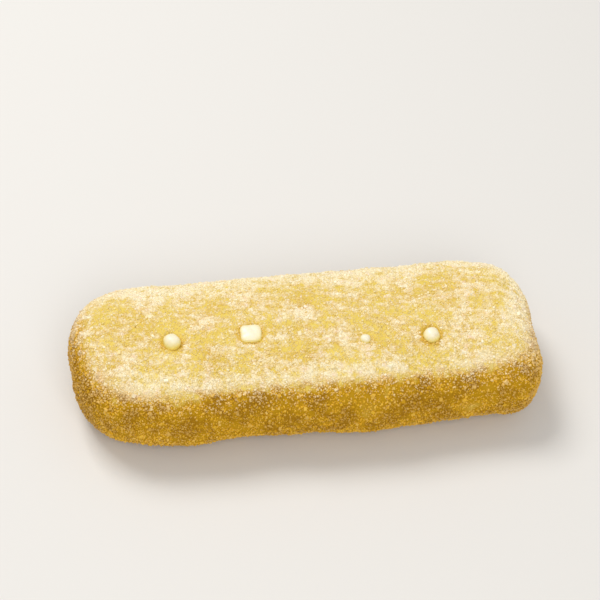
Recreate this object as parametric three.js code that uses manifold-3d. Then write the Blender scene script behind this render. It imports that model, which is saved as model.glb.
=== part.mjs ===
// A cream-filled choux bar: a long, flat-topped pastry with round ends, filled with cream through four
// holes in its top and rolled in coarse sugar. Each hole still shows the cream that welled up in it.
// Millimetres, +Z up, X along the bar and the front side at -Y. The origin is in the middle of the flat
// underside that the bar rests on.
import * as THREE from "three";
import { mergeVertices } from "three/addons/utils/BufferGeometryUtils.js";
import Module from "manifold-3d";

// Driving dimensions of the bar
const LENGTH = 165;
const WIDTH = 65;
const HEIGHT = 31;
const WAIST = 0.5 * HEIGHT; // height of the widest level
const UNDERCUT = 1.5; // how far the round underside would pass below the flat foot

// Rounding of the bar, as superellipse runs and powers
const CORNER_RUN = { backLeft: 30, frontLeft: 58, backRight: 34, frontRight: 16 };
const CORNER_POWER = 2.8;
const END_RUN = 14; // how far the top and the underside roll over at each end
const END_POWER = 2.2;
const TOP_POWER = 2.4;
const FOOT_POWER = 2.6;

// Filling holes in the top, each with the bead of cream that stands in it: its plan is a superellipse
// of the power square, and so is its head's profile, of the power flat
const BEADS = [
  { x: -47, y: -4, radius: 3.05, rise: 3.6, square: 2, flat: 2 },
  { x: -19.5, y: -2.8, radius: 3.8, rise: 2.2, square: 4, flat: 3.5 },
  { x: 19.8, y: -9.5, radius: 1.95, rise: 1.6, square: 2, flat: 2 },
  { x: 42.9, y: -10.6, radius: 2.9, rise: 3.1, square: 2, flat: 2 },
];
const DIMPLE = { depth: 0.9, radius: 5 }; // the dent that the filling nozzle left round each hole
const GAP = 0.3; // clearance between the cream and the dough

// The cream inside, a flat round-ended core that joins the four holes
const CREAM = { length: 122, width: 30, height: 13, y: -5, power: 2.4 };

// The coarsest sugar crystals, which stand out of the crust
const CRYSTAL = { tried: 300, smallest: 1.1, largest: 1.7, sink: 0.2, clearOfBead: 6.5, clearOfFloor: 5 };
const SPREAD = { along: 0.7548776662, round: 0.569840291 }; // steps that fill a square evenly

// Uneven dough: long swells and short lumps, as waves of height (mm), length (mm), direction and phase
const SWELLS = [
  { height: 0.42, length: 71, along: [0.94, 0.3, 0.16], phase: 0.7 },
  { height: 0.34, length: 47, along: [0.62, -0.76, 0.2], phase: 2.9 },
  { height: 0.26, length: 33, along: [0.35, 0.88, 0.32], phase: 4.4 },
  { height: 0.2, length: 24, along: [0.84, 0.35, -0.42], phase: 1.6 },
  { height: 0.15, length: 17, along: [-0.52, 0.67, 0.53], phase: 5.3 },
  { height: 0.1, length: 12, along: [0.76, -0.42, 0.5], phase: 3.5 },
];
const BACK_WAVE = { height: 0.5, length: 68, trough: 8 }; // the back edge runs in and out along the bar

const SIDES_TURN = 44; // points round one section
const MIDDLE_STEPS = 34; // sections along the straight stretch
const END_STEPS = 14; // sections in each rounded end
const TIP_RUN = 30; // stretch at each end that the closer sections cover

const wasm = await Module();
wasm.setup();

const signedPower = (value, power) => Math.sign(value) * Math.abs(value) ** power;
const clamp = THREE.MathUtils.clamp;

// A value that stays 1 and then falls to 0 over the last run before the tip, along a superellipse
function taper(x, run, power) {
  const share = clamp((Math.abs(x) - (LENGTH / 2 - run)) / run, 0, 1);
  return (1 - share ** power) ** (1 / power);
}

// Half the bar's width at x, on its back (+1) or front (-1) side
function halfWidth(x, side) {
  const left = side > 0 ? CORNER_RUN.backLeft : CORNER_RUN.frontLeft;
  const right = side > 0 ? CORNER_RUN.backRight : CORNER_RUN.frontRight;
  const wave = Math.cos((2 * Math.PI * (x - BACK_WAVE.trough)) / BACK_WAVE.length);
  const swell = side > 0 ? -BACK_WAVE.height * wave : 0;
  return (WIDTH / 2 + swell) * taper(x, x < 0 ? left : right, CORNER_POWER);
}

// How far the dough stands out of its even form at a point
function relief(point) {
  let out = 0;
  for (const { height, length, along, phase } of SWELLS) {
    const [a, b, c] = along;
    const way = a * point.x + b * point.y + c * point.z;
    out += height * Math.sin((2 * Math.PI * way) / length + phase);
  }
  if (point.z > WAIST) {
    for (const bead of BEADS) {
      const away = Math.hypot(point.x - bead.x, point.y - bead.y);
      out -= DIMPLE.depth * Math.exp(-((away / DIMPLE.radius) ** 2));
    }
  }
  return out;
}

// A point of the crust: x along the bar, turn round its section from the back side over the top
function crustPoint(x, turn) {
  const across = Math.cos(turn);
  const upward = Math.sin(turn);
  const power = upward > 0 ? TOP_POWER : FOOT_POWER;
  const reach = upward > 0 ? HEIGHT - WAIST : WAIST + UNDERCUT;
  const y = halfWidth(x, across) * signedPower(across, 2 / power);
  const z = WAIST + reach * taper(x, END_RUN, END_POWER) * signedPower(upward, 2 / power);
  const point = new THREE.Vector3(x, y, z);
  const spine = new THREE.Vector3(clamp(x, TIP_RUN - LENGTH / 2, LENGTH / 2 - TIP_RUN), 0, WAIST);
  const outward = point.clone().sub(spine).normalize();
  return point.addScaledVector(outward, relief(point));
}

// Stations along the bar from tip to tip, closer together in the rounded ends
function stations() {
  const middle = LENGTH / 2 - TIP_RUN;
  const out = [];
  for (let i = 0; i < END_STEPS; i++) {
    const turn = ((Math.PI / 2) * (END_STEPS - i)) / END_STEPS;
    out.push(-middle - TIP_RUN * Math.sin(turn) ** (2 / CORNER_POWER));
  }
  for (let i = 0; i <= MIDDLE_STEPS; i++) out.push(-middle + (2 * middle * i) / MIDDLE_STEPS);
  for (let i = 1; i <= END_STEPS; i++) {
    const turn = ((Math.PI / 2) * i) / END_STEPS;
    out.push(middle + TIP_RUN * Math.sin(turn) ** (2 / CORNER_POWER));
  }
  return out;
}

// A closed skin over rings of equal count, with one point at each tip
function skin(rings, firstTip, lastTip) {
  const count = rings[0].length;
  const points = [firstTip, ...rings.flat(), lastTip];
  const faces = [];
  const at = (ring, i) => 1 + ring * count + (i % count);
  for (let i = 0; i < count; i++) {
    faces.push(0, at(0, i + 1), at(0, i));
    for (let ring = 0; ring + 1 < rings.length; ring++) {
      faces.push(at(ring, i), at(ring, i + 1), at(ring + 1, i + 1));
      faces.push(at(ring, i), at(ring + 1, i + 1), at(ring + 1, i));
    }
    faces.push(points.length - 1, at(rings.length - 1, i), at(rings.length - 1, i + 1));
  }
  const geometry = new THREE.BufferGeometry().setFromPoints(points);
  geometry.setIndex(faces);
  return geometry;
}

// A three.js geometry as a solid that can be joined and cut
function solidOf(geometry) {
  const bare = geometry.clone();
  bare.deleteAttribute("normal");
  bare.deleteAttribute("uv");
  const merged = mergeVertices(bare, 1e-4);
  const mesh = new wasm.Mesh({
    numProp: 3,
    vertProperties: merged.attributes.position.array,
    triVerts: new Uint32Array(merged.index.array),
  });
  return new wasm.Manifold(mesh);
}

// A solid as a three.js geometry again
function geometryOf(solid) {
  const { vertProperties, triVerts } = solid.getMesh();
  const geometry = new THREE.BufferGeometry();
  geometry.setAttribute("position", new THREE.BufferAttribute(vertProperties, 3));
  geometry.setIndex(new THREE.BufferAttribute(triVerts, 1));
  geometry.computeVertexNormals();
  return geometry;
}

// The bar without its holes, flattened where it rests
function bareBar() {
  const along = stations();
  const turns = Array.from({ length: SIDES_TURN }, (_, i) => (2 * Math.PI * i) / SIDES_TURN);
  const rings = along.slice(1, -1).map((x) => turns.map((turn) => crustPoint(x, turn)));
  const bar = solidOf(skin(rings, crustPoint(along[0], 0), crustPoint(along.at(-1), 0)));
  return bar.trimByPlane([0, 0, 1], 0);
}

// The crust's height above the floor at a place on the top
function topAt(x, y) {
  const share = Math.abs(y) / halfWidth(x, y);
  const rise = (1 - share ** TOP_POWER) ** (1 / TOP_POWER);
  const z = WAIST + (HEIGHT - WAIST) * taper(x, END_RUN, END_POWER) * rise;
  return z + relief(new THREE.Vector3(x, y, z));
}

// The flat core of cream inside the bar, grown by a margin
function creamCore(margin) {
  const steps = 18;
  const sides = 16;
  const half = { x: CREAM.length / 2 + margin, y: CREAM.width / 2 + margin, z: CREAM.height / 2 + margin };
  const cap = half.y;
  const ring = (x) => {
    const share = clamp((Math.abs(x) - (half.x - cap)) / cap, 0, 1);
    const size = (1 - share ** CREAM.power) ** (1 / CREAM.power);
    return Array.from({ length: sides }, (_, i) => {
      const turn = (2 * Math.PI * i) / sides;
      const y = CREAM.y + half.y * size * signedPower(Math.cos(turn), 2 / CREAM.power);
      const z = WAIST + half.z * size * signedPower(Math.sin(turn), 2 / CREAM.power);
      return new THREE.Vector3(x, y, z);
    });
  };
  const at = (i) => half.x * Math.sin(Math.PI * (i / steps - 0.5));
  const rings = Array.from({ length: steps - 1 }, (_, i) => ring(at(i + 1)));
  const tips = [-half.x, half.x].map((x) => new THREE.Vector3(x, CREAM.y, WAIST));
  return solidOf(skin(rings, ...tips));
}

// A round or squarish plug that stands in a hole, from inside the core up to its head's top level
function creamPlug(bead, margin, topLevel) {
  const sides = 20;
  const headSteps = 6;
  const radius = bead.radius + margin;
  const head = Math.min(bead.rise, bead.radius);
  const rings = [WAIST, ...Array(headSteps).fill(topLevel - head)].map((level, step) => {
    const turn = ((Math.PI / 2) * Math.max(step - 1, 0)) / headSteps;
    const size = radius * Math.cos(turn) ** (2 / bead.flat);
    const z = level + (step > 0 ? head * Math.sin(turn) ** (2 / bead.flat) : 0);
    return Array.from({ length: sides }, (_, i) => {
      const round = (2 * Math.PI * i) / sides;
      const x = bead.x + size * signedPower(Math.cos(round), 2 / bead.square);
      const y = bead.y + size * signedPower(Math.sin(round), 2 / bead.square);
      return new THREE.Vector3(x, y, z);
    });
  });
  const tips = [WAIST, topLevel].map((z) => new THREE.Vector3(bead.x, bead.y, z));
  return solidOf(skin(rings, ...tips));
}

// The chance number k of crystal i, from 0 to 1 and the same at each run
function chance(i, k) {
  const value = Math.sin(12.9898 * i + 78.233 * k) * 43758.5453;
  return value - Math.floor(value);
}

// Coarse sugar crystals, spread evenly over the crust: blocks sunk a little into it at any angle
function sugarCrystals() {
  const crystals = [];
  for (let i = 0; i < CRYSTAL.tried; i++) {
    const x = (((0.5 + SPREAD.along * i) % 1) - 0.5) * (LENGTH - 8) + 6 * (chance(i, 0) - 0.5);
    const turn = 2 * Math.PI * ((0.5 + SPREAD.round * i) % 1) + 0.3 * (chance(i, 1) - 0.5);
    const place = crustPoint(x, turn);
    const nearBead = BEADS.some((b) => Math.hypot(place.x - b.x, place.y - b.y) < CRYSTAL.clearOfBead);
    if (place.z < CRYSTAL.clearOfFloor || (nearBead && place.z > WAIST)) continue;
    const size = CRYSTAL.smallest + (CRYSTAL.largest - CRYSTAL.smallest) * chance(i, 2);
    const breadth = size * (0.7 + 0.25 * chance(i, 3));
    const depth = size * (0.6 + 0.25 * chance(i, 4));
    const tilt = new THREE.Euler(Math.PI * chance(i, 5), Math.PI * chance(i, 6), Math.PI * chance(i, 7));
    const inward = new THREE.Vector3(0, -place.y, WAIST - place.z).setLength(CRYSTAL.sink);
    const block = new THREE.BoxGeometry(size, breadth, depth);
    block.applyMatrix4(new THREE.Matrix4().makeRotationFromEuler(tilt));
    block.translate(place.x, place.y + inward.y, place.z + inward.z);
    crystals.push(solidOf(block));
  }
  return wasm.Manifold.union(crystals);
}

// The dough: the bar and its crystals, less the room for the cream and for its four plugs
function pastrySolid() {
  const room = BEADS.map((bead) => creamPlug(bead, GAP, HEIGHT + 8));
  return bareBar()
    .add(sugarCrystals())
    .subtract(wasm.Manifold.union([creamCore(GAP), ...room]));
}

// The cream: the core with its four plugs, whose heads stand out of the top
function creamSolid() {
  const plugs = BEADS.map((bead) => creamPlug(bead, 0, topAt(bead.x, bead.y) + bead.rise));
  return wasm.Manifold.union([creamCore(0), ...plugs]);
}

function node(name, solid, color, roughness) {
  const material = new THREE.MeshStandardMaterial({ color, roughness, metalness: 0 });
  const mesh = new THREE.Mesh(geometryOf(solid), material);
  mesh.name = name;
  return mesh;
}

const choux_bar = new THREE.Group();
choux_bar.add(node("pastry", pastrySolid(), 0xe0bd6a, 0.8));
choux_bar.add(node("cream_filling", creamSolid(), 0xfff3c4, 0.35));

export default choux_bar;
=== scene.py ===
import bpy
import numpy as np
from mathutils import Matrix, Vector


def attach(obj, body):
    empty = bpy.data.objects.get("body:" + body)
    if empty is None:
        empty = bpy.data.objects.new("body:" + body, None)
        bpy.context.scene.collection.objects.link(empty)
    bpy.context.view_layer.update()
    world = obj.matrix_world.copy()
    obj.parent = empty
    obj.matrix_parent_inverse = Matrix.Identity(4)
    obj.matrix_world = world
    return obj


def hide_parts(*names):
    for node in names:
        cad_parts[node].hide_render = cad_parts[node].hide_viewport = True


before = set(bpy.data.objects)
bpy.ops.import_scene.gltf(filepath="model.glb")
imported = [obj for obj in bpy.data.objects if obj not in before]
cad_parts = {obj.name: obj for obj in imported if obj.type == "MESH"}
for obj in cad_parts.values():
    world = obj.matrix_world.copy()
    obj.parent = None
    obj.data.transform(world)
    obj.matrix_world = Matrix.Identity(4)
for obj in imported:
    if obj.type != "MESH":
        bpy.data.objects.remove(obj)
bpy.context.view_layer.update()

# The camera looks down on the bar from the front, a little from the left. The photo allows a range of
# distances and angles of view. This one was chosen from that range, and the bar's form and place were
# then fitted to its outline in the photo, with its height held fixed.
VIEW_TARGET = Vector((0.0034, 0.0385, 0.0))
VIEW_DISTANCE = 0.6168
VIEW_ELEVATION = np.radians(47.6)
VIEW_AZIMUTH = np.radians(-8.1)
VIEW_ROLL = np.radians(1.1)
LENS_MM = 97.5


def view_axes():
    """The camera's right, up and backward directions. Azimuth turns about Z, elevation lifts, and
    roll turns last."""
    across = Vector((np.cos(VIEW_AZIMUTH), np.sin(VIEW_AZIMUTH), 0.0))
    level = np.cos(VIEW_ELEVATION)
    back = Vector((np.sin(VIEW_AZIMUTH) * level, -np.cos(VIEW_AZIMUTH) * level, np.sin(VIEW_ELEVATION)))
    upward = back.cross(across)
    right = np.cos(VIEW_ROLL) * across + np.sin(VIEW_ROLL) * upward
    up = np.cos(VIEW_ROLL) * upward - np.sin(VIEW_ROLL) * across
    return right, up, back


camera_data = bpy.data.cameras.new("camera")
camera_data.lens = LENS_MM
camera_data.sensor_width = 36.0
camera_data.clip_start = 0.01
camera = bpy.data.objects.new("camera", camera_data)
bpy.context.scene.collection.objects.link(camera)
camera.matrix_world = Matrix.Translation(VIEW_TARGET + VIEW_DISTANCE * view_axes()[2]) @ (
    Matrix(view_axes()).transposed().to_4x4()
)
bpy.context.scene.camera = camera

# The studio: a pale floor that runs out of sight, a large soft light above and behind the bar, and a
# wider one of a like strength in front of it, so that no side lies in deep shade.
FLOOR_SIZE = 6.0
FLOOR_COLOUR = (0.78, 0.765, 0.745, 1.0)
SKY_COLOUR = (1.0, 0.985, 0.96, 1.0)
SKY_STRENGTH = 0.43


def put_mesh(name, places, faces):
    """A mesh object from an array of places in metres and one of triangles or quads, at the origin."""
    mesh = bpy.data.meshes.new(name)
    mesh.from_pydata(places.tolist(), [], faces.tolist())
    mesh.update()
    thing = bpy.data.objects.new(name, mesh)
    bpy.context.scene.collection.objects.link(thing)
    return thing


half_floor = FLOOR_SIZE / 2
floor = put_mesh(
    "floor",
    half_floor * np.array([(-1, -1, 0), (1, -1, 0), (1, 1, 0), (-1, 1, 0)], float),
    np.array([(0, 1, 2, 3)]),
)
floor_material = bpy.data.materials.new("floor")
floor_material.use_nodes = True
floor_shader = floor_material.node_tree.nodes["Principled BSDF"]
floor_shader.inputs["Base Color"].default_value = FLOOR_COLOUR
floor_shader.inputs["Roughness"].default_value = 0.7
floor.data.materials.append(floor_material)

world = bpy.data.worlds.new("studio")
world.use_nodes = True
world.node_tree.nodes["Background"].inputs["Color"].default_value = SKY_COLOUR
world.node_tree.nodes["Background"].inputs["Strength"].default_value = SKY_STRENGTH
bpy.context.scene.world = world
bpy.context.scene.view_settings.view_transform = "Standard"


def soft_light(name, place, size, watts, colour):
    """A square area light at a place in metres that faces the bar."""
    data = bpy.data.lights.new(name, "AREA")
    data.size = size
    data.energy = watts
    data.color = colour
    lamp = bpy.data.objects.new(name, data)
    bpy.context.scene.collection.objects.link(lamp)
    lamp.matrix_world = Matrix.Translation(place) @ (
        Vector(place).to_track_quat("Z", "Y").to_matrix().to_4x4()
    )


soft_light("key_light", place=(-0.38, 0.6, 1.05), size=0.55, watts=8.8, colour=(1.0, 0.985, 0.95))
soft_light("fill_light", place=(0.1, -1.0, 0.95), size=0.9, watts=7.9, colour=(1.0, 0.99, 0.97))

# The crust is a long bar of soft dough, fried until golden and paler on top than on its sides, whose
# darker tone is partly their frying and partly painted shade. It is one smooth skin with round ends and
# corners, which swells and dips a little along its length. A filling nozzle left four holes in a line
# along the top.
MM = 0.001
LENGTH = 165.0
WIDTH = 65.0
HEIGHT = 31.0
WAIST = 0.5 * HEIGHT  # height of the widest level
UNDERCUT = 1.5  # how far the round underside would pass below the flat foot
CORNER_RUN = {"back_left": 30.0, "front_left": 58.0, "back_right": 34.0, "front_right": 16.0}
CORNER_POWER = 2.8
END_RUN = 14.0
END_POWER = 2.2
TOP_POWER = 2.4
FOOT_POWER = 2.6
TIP_RUN = 30.0  # stretch at each end whose skin faces the spine's end
SWELLS = (  # height, length, direction and phase of each slow wave in the dough
    (0.42, 71.0, (0.94, 0.3, 0.16), 0.7),
    (0.34, 47.0, (0.62, -0.76, 0.2), 2.9),
    (0.26, 33.0, (0.35, 0.88, 0.32), 4.4),
    (0.2, 24.0, (0.84, 0.35, -0.42), 1.6),
    (0.15, 17.0, (-0.52, 0.67, 0.53), 5.3),
    (0.1, 12.0, (0.76, -0.42, 0.5), 3.5),
)
BACK_WAVE = {"height": 0.5, "length": 68.0, "trough": 8.0}
BEADS = (  # place, radius, rise, powers of the plan and of the head's profile, openness of the hole
    {"x": -47.0, "y": -4.0, "radius": 3.05, "rise": 3.6, "square": 2.0, "flat": 2.0, "well": 1.0},
    {"x": -19.5, "y": -2.8, "radius": 3.8, "rise": 2.2, "square": 4.0, "flat": 3.5, "well": 0.6},
    {"x": 19.8, "y": -9.5, "radius": 1.95, "rise": 1.6, "square": 2.0, "flat": 2.0, "well": 0.2},
    {"x": 42.9, "y": -10.6, "radius": 2.9, "rise": 3.1, "square": 2.0, "flat": 2.0, "well": 0.9},
)
DIMPLE = {"depth": 0.9, "radius": 5.0}
WELL = {"depth": 0.55, "margin": -0.2, "softness": 1.2}  # the open rim of a hole round its bead
CRUST_STATIONS = 340
CRUST_TURNS = 290
UNDERSIDE_SINE = -0.8  # sine of the turn below which the skin counts as the underside
UNDERSIDE_SHARE = 0.45  # closeness of the points there, against 1 elsewhere
STATION_RUN = 34.0  # corner run of the even outline by which the sections are spaced


def signed_power(value, power):
    """The value's size raised to a power, with its sign kept."""
    return np.sign(value) * np.abs(value) ** power


def taper(x, run, power):
    """1 along the bar, then down to 0 over the last run before each tip, along a superellipse."""
    share = np.clip((np.abs(x) - (LENGTH / 2 - run)) / run, 0.0, 1.0)
    return (1.0 - share**power) ** (1.0 / power)


def half_width(x, side):
    """Half the bar's width at x: its back or front side's own corner runs, and the back edge's wave."""
    left = np.where(side > 0, CORNER_RUN["back_left"], CORNER_RUN["front_left"])
    right = np.where(side > 0, CORNER_RUN["back_right"], CORNER_RUN["front_right"])
    wave = np.cos(2 * np.pi * (x - BACK_WAVE["trough"]) / BACK_WAVE["length"])
    swell = np.where(side > 0, -BACK_WAVE["height"] * wave, 0.0)
    return (WIDTH / 2 + swell) * taper(x, np.where(x < 0, left, right), CORNER_POWER)


def waves(points, table):
    """A sum of sine waves through space, each with its height, length, direction and phase."""
    total = np.zeros(points.shape[:-1])
    for height, length, along, phase in table:
        total += height * np.sin(2 * np.pi * (points @ np.array(along)) / length + phase)
    return total


def away_from(points, bead):
    """How far points are from a bead's upright axis."""
    return np.hypot(points[..., 0] - bead["x"], points[..., 1] - bead["y"])


def relief(points):
    """How far the dough stands out of its even form: its slow waves, less a dent round each hole."""
    out = waves(points, SWELLS)
    upper = points[..., 2] > WAIST
    for bead in BEADS:
        dent = DIMPLE["depth"] * np.exp(-((away_from(points, bead) / DIMPLE["radius"]) ** 2))
        out -= np.where(upper, dent, 0.0)
    return out


def bare_section(x, turn):
    """A point of the even bar: a superellipse section round the bar at x, turned from the back side up."""
    across, upward = np.cos(turn), np.sin(turn)
    power = np.where(upward > 0, TOP_POWER, FOOT_POWER)
    reach = np.where(upward > 0, HEIGHT - WAIST, WAIST + UNDERCUT)
    y = half_width(x, across) * signed_power(across, 2.0 / power)
    z = WAIST + reach * taper(x, END_RUN, END_POWER) * signed_power(upward, 2.0 / power)
    return np.stack([x + 0.0 * y, y, z], axis=-1)


def outward(points):
    """Unit directions away from the bar's spine, a level line that stops short of both tips."""
    spine = np.zeros_like(points)
    spine[..., 0] = np.clip(points[..., 0], TIP_RUN - LENGTH / 2, LENGTH / 2 - TIP_RUN)
    spine[..., 2] = WAIST
    way = points - spine
    return way / np.linalg.norm(way, axis=-1, keepdims=True)


def crust_point(x, turn):
    """A point of the crust: the even bar's point, moved outward by the relief."""
    points = bare_section(x, turn)
    return points + outward(points) * relief(points)[..., None]


def even_turns(count):
    """Turns round a section that space its points evenly, and more widely on the underside."""
    fine = np.linspace(0.0, 2 * np.pi, 4001)
    ring = bare_section(np.zeros_like(fine), fine)
    steps = np.linalg.norm(np.diff(ring, axis=0), axis=1)
    middle = (fine[1:] + fine[:-1]) / 2
    steps *= np.where(np.sin(middle) < UNDERSIDE_SINE, UNDERSIDE_SHARE, 1.0)
    run = np.concatenate([[0.0], np.cumsum(steps)])
    return np.interp(np.arange(count) / count * run[-1], run, fine)


def even_stations(count):
    """Places along the bar, tips included, that space the sections evenly along its rounded outline."""
    fine = LENGTH / 2 * np.sin(np.linspace(-np.pi / 2, np.pi / 2, 20001))
    size = WIDTH / 4 * (taper(fine, STATION_RUN, CORNER_POWER) + taper(fine, END_RUN, END_POWER))
    run = np.concatenate([[0.0], np.cumsum(np.hypot(np.diff(fine), np.diff(size)))])
    return np.interp(np.linspace(0.0, run[-1], count), run, fine)


def smooth_step(value):
    """0 below 0, 1 above 1, and a smooth rise between."""
    share = np.clip(value, 0.0, 1.0)
    return share * share * (3.0 - 2.0 * share)


def random_waves(seed, count, shortest, longest, height):
    """A table of waves in random directions, whose lengths run from the shortest to the longest."""
    draw = np.random.default_rng(seed)
    ways = draw.normal(size=(count, 3))
    ways /= np.linalg.norm(ways, axis=1, keepdims=True)
    lengths = np.exp(draw.uniform(np.log(shortest), np.log(longest), count))
    phases = draw.uniform(0.0, 2 * np.pi, count)
    each = height * np.sqrt(2.0 / count)
    return [(each, length, way, phase) for length, way, phase in zip(lengths, ways, phases)]


PATCHES = random_waves(seed=5, count=40, shortest=9.0, longest=26.0, height=1.0)  # broad drifts of sugar
CLUMPS = random_waves(seed=8, count=60, shortest=2.6, longest=7.0, height=1.0)  # clumps and gaps in them
SPECKS = random_waves(seed=9, count=80, shortest=1.1, longest=2.6, height=1.0)  # spots a few crystals wide
DRIFTS = (  # place on the top, reach along x and y, and how much more or less sugar lies there
    (-63.0, 12.0, 9.0, 8.0, -0.14), (-56.0, 3.0, 5.0, 4.0, -0.16), (-40.0, 17.0, 6.0, 4.0, -0.14),
    (-30.0, 11.0, 5.0, 3.5, -0.2), (0.0, 15.0, 7.0, 5.0, -0.24), (2.0, 9.5, 3.0, 3.0, -0.22),
    (-35.0, -13.0, 4.0, 9.0, -0.2), (-2.0, -13.0, 5.0, 5.0, -0.25), (27.0, -12.0, 4.0, 5.0, -0.2),
    (40.0, -20.0, 4.0, 3.0, -0.25), (50.0, 17.0, 8.0, 6.0, -0.25), (38.0, 10.0, 5.0, 4.0, -0.15),
    (-55.0, -20.0, 14.0, 6.0, 0.18), (14.0, -17.0, 8.0, 5.0, 0.2), (60.0, -8.0, 14.0, 10.0, 0.14),
    (-8.0, 2.0, 6.0, 3.0, 0.12), (38.0, 1.0, 3.0, 3.0, 0.18), (-50.0, 22.0, 14.0, 4.0, 0.14),
    (-26.0, -9.5, 2.2, 3.0, 0.25), (-20.5, -8.0, 2.0, 1.5, 0.25), (-52.0, -11.0, 8.0, 2.5, 0.12),
)
PUCKERS = random_waves(seed=11, count=60, shortest=3.0, longest=9.0, height=0.09)  # of the fried dough
LEFT_END = {"x": -35.0, "run": 30.0}  # where the left end begins, and over how far
# The sine of the lean at the turn: in front, how much more at the left end and less at the back.
TURN = {"sine": 0.485, "left_more": 0.07, "back_less": 0.175, "back_from": -12.0, "back_run": 30.0}
RAGGED_TURN = {"patches": 0.01, "clumps": 0.022, "specks": 0.02}
SHOULDER = {"run": 0.17, "left_more": 0.12}  # by how much the sine falls while the side takes over
# The share of the crust that sugar hides: on the top, on the sides, and what other places add to it.
TOP_COVER = 0.42
SIDE_COVER = 0.02
BAND = {"cover": 0.32, "run": 0.38}  # the white band just below the turn
BACK_EDGE = {"cover": 0.54, "y": 31.0, "reach": 13.0, "z": 17.0, "rise": 8.0}
FRONT_EDGE = {"cover": 0.26, "y": -22.5, "reach": 4.0}
RIGHT_END = {"cover": 0.28, "x": 64.0, "run": 14.0, "slant": 0.4, "slant_from": -10.0}
SIDE_ENDS = {"cover": 0.12, "left": -35.0, "right": 38.0, "run": 18.0}
DRIFT_STRENGTH = 1.15
BROKEN_COVER = {"patches": 0.11, "clumps": 0.15, "specks": 0.11}
SIDE_CALM = 0.5  # how much less the sides are broken up
BARE_RIM = {"less": 0.6, "margin": 0.3, "run": 2.0}  # the bare dough round an open hole's bead


def hill(value, centre, reach):
    """A bell curve of a value about a centre."""
    return np.exp(-(((value - centre) / reach) ** 2))


def left_end(points):
    """0 along the bar, and 1 at its rounder, left end."""
    return smooth_step((LEFT_END["x"] - points[..., 0]) / LEFT_END["run"])


def sugar_waves(points, patches, clumps, specks):
    """The sum of the sugar's patches, clumps and specks, each by its own height."""
    broad = patches * waves(points, PATCHES)
    return broad + clumps * waves(points, CLUMPS) + specks * waves(points, SPECKS)


def below_turn(points):
    """How far a place lies below the turn from the top to the sides, by the sine of the skin's lean. The
    turn is a ragged line, where the skin faces about 29 degrees above level in front and 18 at the back,
    and 4 or 5 degrees more round the left end."""
    turn = TURN["sine"] + TURN["left_more"] * left_end(points)
    turn -= TURN["back_less"] * smooth_step((points[..., 1] - TURN["back_from"]) / TURN["back_run"])
    return turn + sugar_waves(points, **RAGGED_TURN) - outward(points)[..., 2]


def shoulder(points):
    """0 on the top, and 1 on the sides a little below the turn. It rises more slowly round the left end."""
    return smooth_step(below_turn(points) / (SHOULDER["run"] + SHOULDER["left_more"] * left_end(points)))


def sugar_cover(points):
    """How much of the crust sugar hides, from 0 to 1. It lies thick along the back edge, the front
    shoulder, the right end and the front left corner, and thin on the middle of the top, on the front
    side and round the beads. It thins out down the sides, a little less so towards both ends, and
    drifts, clumps and specks break it up."""
    x, y, z = points[..., 0], points[..., 1], points[..., 2]
    side = shoulder(points)
    top = 1.0 - side
    cover = TOP_COVER * top + SIDE_COVER * side
    cover += BAND["cover"] * side * (1.0 - smooth_step(below_turn(points) / BAND["run"]))
    high_up = smooth_step((z - BACK_EDGE["z"]) / BACK_EDGE["rise"])
    cover += BACK_EDGE["cover"] * hill(y, BACK_EDGE["y"], BACK_EDGE["reach"]) * high_up
    cover += FRONT_EDGE["cover"] * hill(y, FRONT_EDGE["y"], FRONT_EDGE["reach"]) * top
    slant = RIGHT_END["slant"] * np.minimum(y - RIGHT_END["slant_from"], 0.0)
    cover += RIGHT_END["cover"] * smooth_step((x + slant - RIGHT_END["x"]) / RIGHT_END["run"])
    to_left = smooth_step((SIDE_ENDS["left"] - x) / SIDE_ENDS["run"])
    to_right = smooth_step((x - SIDE_ENDS["right"]) / SIDE_ENDS["run"])
    cover += SIDE_ENDS["cover"] * side * (to_left + to_right)
    for place_x, place_y, reach_x, reach_y, more in DRIFTS:
        cover += DRIFT_STRENGTH * more * top * hill(x, place_x, reach_x) * hill(y, place_y, reach_y)
    cover += (1.0 - SIDE_CALM * side) * sugar_waves(points, **BROKEN_COVER)
    for bead in BEADS:
        past_rim = (away_from(points, bead) - bead["radius"] - BARE_RIM["margin"]) / BARE_RIM["run"]
        bare = 1.0 - smooth_step(past_rim)
        cover -= np.where(z > WAIST, BARE_RIM["less"] * bead["well"] * bare, 0.0)
    return np.clip(cover, 0.0, 1.0)


def crust_grid():
    """The crust's fine grid of places, section by section: the crust's form with puckers, and a well
    round each bead, flattened where the bar rests."""
    x = even_stations(CRUST_STATIONS)[:, None]
    turn = even_turns(CRUST_TURNS)[None, :]
    points = bare_section(x, turn)
    lift = relief(points) + waves(points, PUCKERS)
    for bead in BEADS:
        rim = (away_from(points, bead) - bead["radius"] - WELL["margin"]) / WELL["softness"]
        sunk = WELL["depth"] * bead["well"] * (1.0 - smooth_step(rim))
        lift -= np.where(points[..., 2] > WAIST, sunk, 0.0)
    points = points + outward(points) * lift[..., None]
    points[..., 2] = np.maximum(points[..., 2], 0.0)
    return points


def skin_faces(rings, count):
    """Triangles of a closed skin: a tip, rings of a like count of points, and another tip."""
    ring = np.arange(rings - 1)[:, None] * count
    step = np.arange(count)
    after = (step + 1) % count
    a, b = 1 + ring + step, 1 + ring + after
    c, d = b + count, a + count
    sides = np.concatenate([np.stack([a, b, c], -1).reshape(-1, 3), np.stack([a, c, d], -1).reshape(-1, 3)])
    last = 1 + (rings - 1) * count
    first_cap = np.stack([np.zeros(count, int), 1 + after, 1 + step], -1)
    last_cap = np.stack([np.full(count, last + count), last + step, last + after], -1)
    return np.concatenate([first_cap, sides, last_cap])


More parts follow.
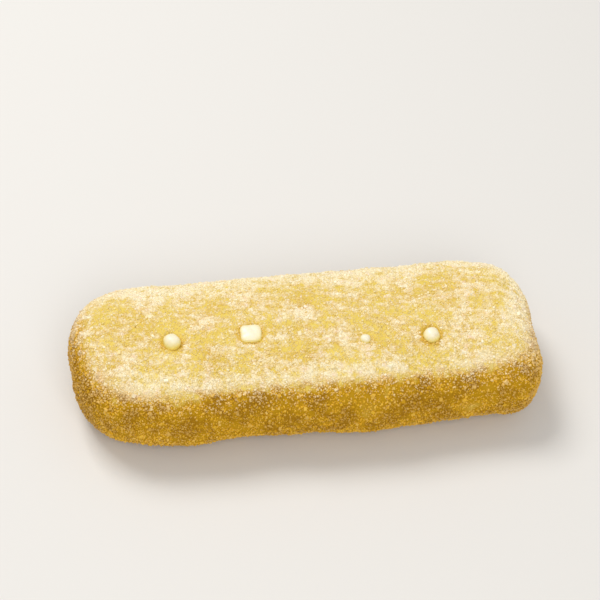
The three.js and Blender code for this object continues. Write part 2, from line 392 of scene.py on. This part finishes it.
def skin_places(grid):
    """A grid's rings between the middles of its first and last ones, as one list of places."""
    return np.concatenate([grid[0].mean(0)[None], grid[1:-1].reshape(-1, 3), grid[-1].mean(0)[None]])


crust_rings = crust_grid()
crust_places = skin_places(crust_rings)
crust = put_mesh("crust", crust_places * MM, skin_faces(CRUST_STATIONS - 2, CRUST_TURNS))
crust.data.shade_smooth()


def put_attribute(thing, name, values):
    """One number for each point of a mesh, for its material to read."""
    attribute = thing.data.attributes.new(name, "FLOAT", "POINT")
    attribute.data.foreach_set("value", values.astype(np.float32))


# The sides' extra browning is partly the frying and partly painted shade.
FRYING_AND_SHADE = {"top": 0.1, "side": 0.7, "patches": 0.1, "clumps": 0.07}  # "side" is over what the top has
LEFT_TIP = {"brown": 0.5, "x": -74.0, "run": 6.0}
# The browner ring round each hole is partly oily, browner dough and partly painted shade in the gap round
# the bead.
BROWN_AND_SHADED_RING = {"brown": 0.15, "margin": 0.6, "reach": 1.4}
LESS_DUST = 0.16  # how much thinner the fine dust is on the sides than the crystals over it


def browning_and_shade(points):
    """How far the dough is fried and shaded, from 0 on the pale top to 1 in the brown spots of the sides,
    the underside and the left tip. The sides' part is partly frying and partly painted shade. A little of it
    goes round each bead too, partly browner dough and partly painted shade in the gap round the bead."""
    brown = FRYING_AND_SHADE["top"] + FRYING_AND_SHADE["side"] * shoulder(points)
    brown += FRYING_AND_SHADE["patches"] * waves(points, PATCHES)
    brown += FRYING_AND_SHADE["clumps"] * waves(points, CLUMPS)
    brown += LEFT_TIP["brown"] * smooth_step((LEFT_TIP["x"] - points[..., 0]) / LEFT_TIP["run"])
    # A ring round each bead: partly browner dough, partly painted shade.
    for bead in BEADS:
        ring = hill(away_from(points, bead), bead["radius"] + BROWN_AND_SHADED_RING["margin"], BROWN_AND_SHADED_RING["reach"])
        brown += np.where(points[..., 2] > WAIST, BROWN_AND_SHADED_RING["brown"] * bead["well"] * ring, 0.0)
    return np.clip(brown, 0.0, 1.0)


put_attribute(crust, "sugar_dust", sugar_cover(crust_places) - LESS_DUST * shoulder(crust_places))
put_attribute(crust, "browning_and_shade", browning_and_shade(crust_places))


class Tree:
    """A node tree, with short ways to add a node and to join sockets."""

    def __init__(self, tree):
        self.tree = tree

    def add(self, kind, values=None, **settings):
        node = self.tree.nodes.new(kind)
        for key, value in settings.items():
            setattr(node, key, value)
        for key, value in (values or {}).items():
            node.inputs[key].default_value = value
        return node

    def join(self, out, into):
        self.tree.links.new(out, into)

    def read(self, name):
        return self.add("ShaderNodeAttribute", attribute_name=name).outputs["Fac"]

    def places(self):
        return self.add("ShaderNodeTexCoord").outputs["Object"]

    def noise(self, scale, detail):
        node = self.add("ShaderNodeTexNoise", {"Scale": scale, "Detail": detail, "Roughness": 0.55})
        self.join(self.places(), node.inputs["Vector"])
        return node.outputs["Fac"]

    def math(self, kind, a, b):
        node = self.add("ShaderNodeMath", operation=kind)
        for value, socket in ((a, node.inputs[0]), (b, node.inputs[1])):
            if isinstance(value, float):
                socket.default_value = value
            else:
                self.join(value, socket)
        return node.outputs[0]

    def ramp(self, value, low, high):
        span = {"From Min": low, "From Max": high}
        node = self.add("ShaderNodeMapRange", span, interpolation_type="SMOOTHSTEP")
        self.join(value, node.inputs["Value"])
        return node.outputs["Result"]

    def mix(self, share, a, b):
        node = self.add("ShaderNodeMix", data_type="RGBA")
        for value, socket in ((share, node.inputs[0]), (a, node.inputs[6]), (b, node.inputs[7])):
            if isinstance(value, tuple):
                socket.default_value = (*value, 1.0)
            else:
                self.join(value, socket)
        return node.outputs[2]


class Looks(Tree):
    """A material and its node tree."""

    def __init__(self, name):
        self.material = bpy.data.materials.new(name)
        self.material.use_nodes = True
        super().__init__(self.material.node_tree)
        self.shader = self.tree.nodes["Principled BSDF"]


MOTTLE = {"scale": 260.0, "detail": 3.0}  # cycles to a metre, and how many finer layers
# The browning here is partly frying and, on the sides, partly painted shade.
GOLDEN_SPAN = (-0.2, 0.72)  # browning over which pale dough turns golden
BROWN_SPAN = (0.7, 1.0)  # and over which golden dough turns brown


def fried_tint_group():
    """The colour of the fried dough, which its clear crystals show too: pale, then golden, then brown
    with the browning and painted shade, which a fine mottle in the Object coordinates moves a little. The
    golden and brown of the sides are partly painted shade."""
    group = bpy.data.node_groups.new("fried_tint", "ShaderNodeTree")
    for name in ("Browning_and_shade", "Mottle"):
        group.interface.new_socket(name, in_out="INPUT", socket_type="NodeSocketFloat")
    for name in ("Pale", "Golden", "Brown"):
        group.interface.new_socket(name, in_out="INPUT", socket_type="NodeSocketColor")
    group.interface.new_socket("Colour", in_out="OUTPUT", socket_type="NodeSocketColor")
    inside = Tree(group)
    given = inside.add("NodeGroupInput").outputs
    mottle = inside.math("SUBTRACT", inside.noise(**MOTTLE), 0.5)
    fried = inside.math("ADD", given["Browning_and_shade"], inside.math("MULTIPLY", mottle, given["Mottle"]))
    golden = inside.mix(inside.ramp(fried, *GOLDEN_SPAN), given["Pale"], given["Golden"])
    colour = inside.mix(inside.ramp(fried, *BROWN_SPAN), golden, given["Brown"])
    inside.join(colour, inside.add("NodeGroupOutput").inputs["Colour"])
    return group


FRIED_TINT = fried_tint_group()


def fried_tint(looks, mottle, pale, golden, brown):
    """The fried dough's colour, with its painted shade, for a material whose mesh has the browning and shade
    of each point.
    """
    node = looks.add("ShaderNodeGroup", node_tree=FRIED_TINT)
    looks.join(looks.read("browning_and_shade"), node.inputs["Browning_and_shade"])
    node.inputs["Mottle"].default_value = mottle
    for name, colour in (("Pale", pale), ("Golden", golden), ("Brown", brown)):
        node.inputs[name].default_value = (*colour, 1.0)
    return node.outputs["Colour"]


# The golden and brown tones, which colour the sides, are partly the fried dough's own and partly painted
# shade.
PALE_DOUGH = (0.82, 0.635, 0.14)
GOLDEN_DOUGH_AND_SHADE = (0.50, 0.27, 0.002)
BROWN_DOUGH_AND_SHADE = (0.36, 0.175, 0.002)
DUST_GRAIN = {"scale": 1500.0, "detail": 2.0}
DUST_UNEVENNESS = 0.6
DUST_SPAN = (0.2, 1.05)  # thickness of the dust over which the dough under it disappears
THICKEST_DUST = 0.92  # share of white where the dust is thickest
GRIT_SCALE = 1700.0
SUGAR_WHITE = (0.98, 0.90, 0.67)
SUGAR_PINK = (0.985, 0.83, 0.68)
dough = Looks("fried_dough")
dough_colour = fried_tint(dough, mottle=0.4, pale=PALE_DOUGH, golden=GOLDEN_DOUGH_AND_SHADE, brown=BROWN_DOUGH_AND_SHADE)
dust_grain = dough.math("SUBTRACT", dough.noise(**DUST_GRAIN), 0.5)
dust_grain = dough.math("MULTIPLY", dust_grain, DUST_UNEVENNESS)
dust = dough.math("ADD", dough.read("sugar_dust"), dust_grain)
dust_share = dough.math("MULTIPLY", dough.ramp(dust, *DUST_SPAN), THICKEST_DUST)
dusted = dough.mix(dust_share, dough_colour, SUGAR_WHITE)
dough.join(dusted, dough.shader.inputs["Base Color"])
dough.shader.inputs["Roughness"].default_value = 0.6
dough.shader.inputs["Specular IOR Level"].default_value = 0.12
grit = dough.add("ShaderNodeTexVoronoi", {"Scale": GRIT_SCALE})
dough.join(dough.places(), grit.inputs["Vector"])
bump = dough.add("ShaderNodeBump", {"Strength": 0.5, "Distance": 0.0002})
dough.join(grit.outputs["Distance"], bump.inputs["Height"])
dough.join(bump.outputs["Normal"], dough.shader.inputs["Normal"])
crust.data.materials.append(dough.material)
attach(crust, "root")
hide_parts("pastry")

# The cream inside is smooth yellow custard cream, piped in through the four holes. It fills a flat
# core along the bar, and a bead of it stands in each hole, where the nozzle was pulled out.
CREAM = {"length": 122.0, "width": 30.0, "height": 13.0, "y": -5.0, "power": 2.4}
CORE_STATIONS = 61
CORE_TURNS = 48
BEAD_RINGS = {"neck": 30, "head": 26}
BEAD_TURNS = 64
BEAD_WOBBLE = random_waves(seed=21, count=14, shortest=3.0, longest=7.0, height=0.12)
WOBBLE_FROM = -0.5  # height over the dough where the wobble begins
WOBBLE_RUN = 1.5


def core_grid():
    """The cream's core: superellipse sections along x that close over the last half width to each tip."""
    half_length, half_span, half_height = CREAM["length"] / 2, CREAM["width"] / 2, CREAM["height"] / 2
    x = half_length * np.sin(np.linspace(-np.pi / 2, np.pi / 2, CORE_STATIONS))[:, None]
    turn = np.linspace(0.0, 2 * np.pi, CORE_TURNS, endpoint=False)[None, :]
    share = np.clip((np.abs(x) - (half_length - half_span)) / half_span, 0.0, 1.0)
    size = (1.0 - share ** CREAM["power"]) ** (1.0 / CREAM["power"])
    y = CREAM["y"] + half_span * size * signed_power(np.cos(turn), 2.0 / CREAM["power"])
    z = WAIST + half_height * size * signed_power(np.sin(turn), 2.0 / CREAM["power"])
    return np.stack([x + 0.0 * y, y, z], axis=-1)


def top_at(x, y):
    """The crust's height above the floor at a place on its top."""
    share = np.abs(y) / half_width(x, y)
    rise = (1.0 - share**TOP_POWER) ** (1.0 / TOP_POWER)
    z = WAIST + (HEIGHT - WAIST) * taper(x, END_RUN, END_POWER) * rise
    return z + relief(np.stack([x, y, z], axis=-1))


def bead_grid(bead):
    """A bead: superellipse plans up a straight neck and over a domed head, with a slight wobble."""
    surface = float(top_at(np.array(bead["x"]), np.array(bead["y"])))
    top_level = surface + bead["rise"]
    head = min(bead["rise"], bead["radius"])
    neck = np.linspace(WAIST, top_level - head, BEAD_RINGS["neck"])[:-1]
    turn = np.linspace(0.0, np.pi / 2, BEAD_RINGS["head"])
    dome = top_level - head + head * np.sin(turn) ** (2.0 / bead["flat"])
    narrowing = np.cos(turn) ** (2.0 / bead["flat"])
    level = np.concatenate([neck, dome])[:, None]
    size = bead["radius"] * np.concatenate([np.ones(neck.size), narrowing])[:, None]
    size[0] = 0.0
    round_way = np.linspace(0.0, 2 * np.pi, BEAD_TURNS, endpoint=False)[None, :]
    x = bead["x"] + size * signed_power(np.cos(round_way), 2.0 / bead["square"])
    y = bead["y"] + size * signed_power(np.sin(round_way), 2.0 / bead["square"])
    points = np.stack([x, y, level + 0.0 * x], axis=-1)
    above = smooth_step((level - surface - WOBBLE_FROM) / WOBBLE_RUN)
    centre = np.array([bead["x"], bead["y"], top_level - head])
    way = points - centre
    way /= np.maximum(np.linalg.norm(way, axis=-1, keepdims=True), 1e-6)
    return points + way * (above * waves(points, BEAD_WOBBLE))[..., None]


def joined_skins(grids):
    """Several closed skins as one list of places and one of triangles."""
    places, faces, start = [], [], 0
    for grid in grids:
        part = skin_places(grid)
        places.append(part)
        faces.append(start + skin_faces(grid.shape[0] - 2, grid.shape[1]))
        start += len(part)
    return np.concatenate(places), np.concatenate(faces)


cream_places, cream_faces = joined_skins([core_grid()] + [bead_grid(bead) for bead in BEADS])
cream = put_mesh("cream", cream_places * MM, cream_faces)
cream.data.shade_smooth()
# The beads' yellower lower parts are partly the cream's own tint and partly painted shade and a painted
# reflection of the golden dough.
DEEPEST = -0.1  # the cream pales from this share of a bead's rise up to its top
above_dough = cream_places[:, 2] - top_at(cream_places[:, 0], cream_places[:, 1])
nearest_bead = np.argmin([away_from(cream_places, bead) for bead in BEADS], axis=0)
rise = np.array([bead["rise"] for bead in BEADS])[nearest_bead]
put_attribute(cream, "depth", 1.0 - smooth_step((above_dough / rise - DEEPEST) / (1.0 - DEEPEST)))
CREAM_HEAD = (0.98, 0.885, 0.68)
CREAM_BASE = (0.99, 0.80, 0.17)
custard = Looks("custard_cream")
custard.join(custard.mix(custard.read("depth"), CREAM_HEAD, CREAM_BASE), custard.shader.inputs["Base Color"])
custard.shader.inputs["Roughness"].default_value = 0.3
custard.shader.inputs["Subsurface Weight"].default_value = 0.3
custard.shader.inputs["Subsurface Radius"].default_value = (0.002, 0.0018, 0.0014)
custard.shader.inputs["Subsurface Scale"].default_value = 1.0
cream.data.materials.append(custard.material)
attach(cream, "root")
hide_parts("cream_filling")

# The sugar is ordinary granulated sugar that the warm bar was rolled in. Its crystals are small
# blocks, clear one by one and white in a heap, pressed partly into the dough at all angles.
CRYSTAL = {"tried": 300, "smallest": 1.1, "largest": 1.7, "breadth": 0.7, "thickness": 0.6, "vary": 0.25}
COARSE_PLACES = {"short_of_tips": 8.0, "shift": 6.0, "twist": 0.3, "sink": 0.2}  # mm, twist in radians
CLEAR_OF_BEAD = 6.5
CLEAR_OF_FLOOR = 5.0
SPREAD = {"along": 0.7548776662, "round": 0.569840291}  # steps that fill a square evenly
BLOCK = np.array([(x, y, z) for x in (-0.5, 0.5) for y in (-0.5, 0.5) for z in (-0.5, 0.5)])
BLOCK_FACES = np.array([
    (0, 1, 3), (0, 3, 2), (4, 6, 7), (4, 7, 5), (0, 4, 5), (0, 5, 1),
    (2, 3, 7), (2, 7, 6), (0, 2, 6), (0, 6, 4), (1, 5, 7), (1, 7, 3),
])


def turned(angles):
    """Rotation matrices from three angles each, about x, then y, then z."""
    (cx, cy, cz), (sx, sy, sz) = np.cos(angles).T, np.sin(angles).T
    rows = [
        [cy * cz, -cy * sz, sy],
        [cx * sz + sx * sy * cz, cx * cz - sx * sy * sz, -sx * cy],
        [sx * sz - cx * sy * cz, sx * cz + cx * sy * sz, cx * cy],
    ]
    return np.moveaxis(np.array(rows), -1, 0)


def blocks(places, sizes, turns):
    """Blocks of given sizes, turned and moved to their places, as one list of places and one of faces."""
    corners = np.einsum("nij,nkj->nki", turns, BLOCK[None] * sizes[:, None, :]) + places[:, None, :]
    faces = BLOCK_FACES[None] + 8 * np.arange(len(places))[:, None, None]
    return corners.reshape(-1, 3), faces.reshape(-1, 3)


def chance(index, k):
    """The chance number k of each crystal, from 0 to 1 and the same at each run."""
    value = np.sin(12.9898 * index + 78.233 * k) * 43758.5453
    return value - np.floor(value)


def coarse_crystals():
    """The coarsest crystals, spread evenly over the crust by a fixed rule and sunk a little into it."""
    i = np.arange(CRYSTAL["tried"], dtype=float)
    x = ((0.5 + SPREAD["along"] * i) % 1 - 0.5) * (LENGTH - COARSE_PLACES["short_of_tips"])
    x += COARSE_PLACES["shift"] * (chance(i, 0) - 0.5)
    turn = 2 * np.pi * ((0.5 + SPREAD["round"] * i) % 1) + COARSE_PLACES["twist"] * (chance(i, 1) - 0.5)
    places = crust_point(x, turn)
    near = np.min([away_from(places, bead) for bead in BEADS], axis=0) < CLEAR_OF_BEAD
    keep = (places[:, 2] >= CLEAR_OF_FLOOR) & ~(near & (places[:, 2] > WAIST))
    size = CRYSTAL["smallest"] + (CRYSTAL["largest"] - CRYSTAL["smallest"]) * chance(i, 2)
    breadth = size * (CRYSTAL["breadth"] + CRYSTAL["vary"] * chance(i, 3))
    thickness = size * (CRYSTAL["thickness"] + CRYSTAL["vary"] * chance(i, 4))
    sizes = np.stack([size, breadth, thickness], -1)
    inward = np.stack([0 * x, -places[:, 1], WAIST - places[:, 2]], -1)
    inward *= COARSE_PLACES["sink"] / np.linalg.norm(inward, axis=1, keepdims=True)
    angles = np.pi * np.stack([chance(i, 5), chance(i, 6), chance(i, 7)], -1)
    return (places + inward)[keep], sizes[keep], turned(angles[keep])


# A crystal's middle stands proud of the skin by a share of its size. Its chance is least where no sugar
# lies, against 1 where sugar hides the crust, and follows a power of the cover in between.
STREWN = {"proud": 0.08, "least": 0.25, "power": 1.6, "narrowest": 0.6}
SIZE_CURVE = (1.5, 2.6)  # powers of the beta curve of sizes, most of which are small
FOOT_EDGE = {"z": 0.2, "run": 2.0, "share": 0.15}  # fewer crystals near the floor, and none on the foot


def strewn_crystals(seed, count, smallest, largest):
    """Small crystals strewn over the crust's faces, more where the sugar lies thick. The middle of each
    one stands out of the skin by a small share of its size."""
    draw = np.random.default_rng(seed)
    grid = crust_rings[1:-1]
    after = np.roll(grid, -1, axis=1)
    a, b, c, d = grid[:-1], after[:-1], after[1:], grid[1:]
    area = np.linalg.norm(np.cross(c - a, d - b), axis=-1) / 2
    middle = (a + b + c + d) / 4
    thick = STREWN["least"] + (1.0 - STREWN["least"]) * sugar_cover(middle) ** STREWN["power"]
    over_foot = middle[..., 2] - FOOT_EDGE["z"]
    rising = smooth_step(over_foot / FOOT_EDGE["run"])
    thick *= rising * (1.0 - FOOT_EDGE["share"]) + FOOT_EDGE["share"] * (over_foot > 0.0)
    chances = (area * thick).reshape(-1)
    pick = draw.choice(chances.size, size=count, p=chances / chances.sum())
    s, t = draw.uniform(size=(2, count, 1))
    quads = [q.reshape(-1, 3)[pick] for q in (a, b, c, d)]
    places = (quads[0] * (1 - s) + quads[3] * s) * (1 - t) + (quads[1] * (1 - s) + quads[2] * s) * t
    normal = np.cross(quads[1] - quads[0], quads[3] - quads[0])
    normal /= np.maximum(np.linalg.norm(normal, axis=1, keepdims=True), 1e-9)
    size = smallest * (largest / smallest) ** draw.beta(*SIZE_CURVE, count)
    shape = draw.uniform(STREWN["narrowest"], 1.0, size=(count, 2))
    sizes = np.stack([size, size * shape[:, 0], size * shape[:, 1]], -1)
    turns = turned(draw.uniform(0.0, 2 * np.pi, size=(count, 3)))
    return places + normal * (size * STREWN["proud"])[:, None], sizes, turns


PINK_GRAIN = {"scale": 420.0, "detail": 1.0}
PINK_SPAN = (0.5, 0.8)
# The clear crystals' golden and brown tints on the sides carry the same painted shade as the dough under
# them.
CLEAR_ON_PALE = (0.84, 0.68, 0.25)
CLEAR_ON_GOLDEN_AND_SHADE = (0.79, 0.47, 0.025)
CLEAR_ON_BROWN_AND_SHADE = (0.60, 0.33, 0.01)
sugar = Looks("sugar_crystals")
pink_share = sugar.ramp(sugar.noise(**PINK_GRAIN), *PINK_SPAN)
sugar_white = sugar.mix(pink_share, SUGAR_WHITE, SUGAR_PINK)
sugar_clear = fried_tint(sugar, mottle=0.3, pale=CLEAR_ON_PALE, golden=CLEAR_ON_GOLDEN_AND_SHADE, brown=CLEAR_ON_BROWN_AND_SHADE)
sugar_colour = sugar.mix(sugar.read("clearness"), sugar_white, sugar_clear)
sugar.join(sugar_colour, sugar.shader.inputs["Base Color"])
sugar.shader.inputs["Roughness"].default_value = 0.35
sugar.shader.inputs["Specular IOR Level"].default_value = 0.25

ABOVE_FLOOR = 0.05  # no crystal reaches below this height
MEDIUM = {"seed": 31, "count": 16400, "smallest": 0.42, "largest": 1.0}
FINE = {"count": 16000, "smallest": 0.27, "largest": 0.55}
FINE_SEED = 32
LUCK_SEED = 50
CLEARNESS = {"bare": 1.14, "less_hidden": 1.15, "luck": 0.35}  # how well the dough shows through
SIDE_CLEARNESS = {"least": 0.88, "run": 0.35}  # the sides' crystals stay clear even in a heap
strewn = [("sugar_coarse", coarse_crystals()), ("sugar_medium", strewn_crystals(**MEDIUM))]
for seed, letter in enumerate("abcd", FINE_SEED):
    strewn.append((f"sugar_fine_{letter}", strewn_crystals(seed, **FINE)))
for seed, (name, (places, sizes, turns)) in enumerate(strewn, LUCK_SEED):
    corners, faces = blocks(places, sizes, turns)
    lowest = corners.reshape(-1, 8, 3)[..., 2].min(axis=1)
    corners[:, 2] += np.repeat(np.maximum(ABOVE_FLOOR - lowest, 0.0), 8)
    piece = put_mesh(name, corners * MM, faces)
    draw = np.random.default_rng(seed)
    luck = draw.uniform(-CLEARNESS["luck"], CLEARNESS["luck"], len(places))
    mean_clear = CLEARNESS["bare"] - CLEARNESS["less_hidden"] * sugar_cover(places)
    least_clear = SIDE_CLEARNESS["least"] * smooth_step(below_turn(places) / SIDE_CLEARNESS["run"])
    clearness = np.clip(mean_clear + luck, least_clear, 1.0)
    put_attribute(piece, "clearness", np.repeat(clearness, 8))
    put_attribute(piece, "browning_and_shade", np.repeat(browning_and_shade(places), 8))
    piece.data.materials.append(sugar.material)
    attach(piece, "root")
